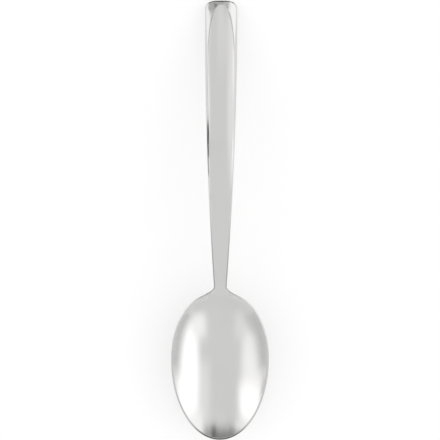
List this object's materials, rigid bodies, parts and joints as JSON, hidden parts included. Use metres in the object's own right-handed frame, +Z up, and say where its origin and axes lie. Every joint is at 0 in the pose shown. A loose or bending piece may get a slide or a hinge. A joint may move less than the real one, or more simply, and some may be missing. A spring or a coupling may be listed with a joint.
{
  "type": "teaspoon",
  "caption": "Forged steel teaspoon with an oval bowl, a slim neck and an arched handle that widens to a rounded end, for stirring, measuring and eating.",
  "frame": {"origin": "on the table that the spoon lies on, below the middle of its length and width", "axes": "+Z up, out of the bowl; +Y along the spoon, from the bowl's tip to the handle's end; +X across it"},
  "size_m": [0.0344, 0.156, 0.0169],
  "materials": {
    "stainless_steel": "polished, slightly satin inside the bowl"
  },
  "bodies": {
    "root": {"teaspoon": "stainless_steel"}
  },
  "joints": []
}
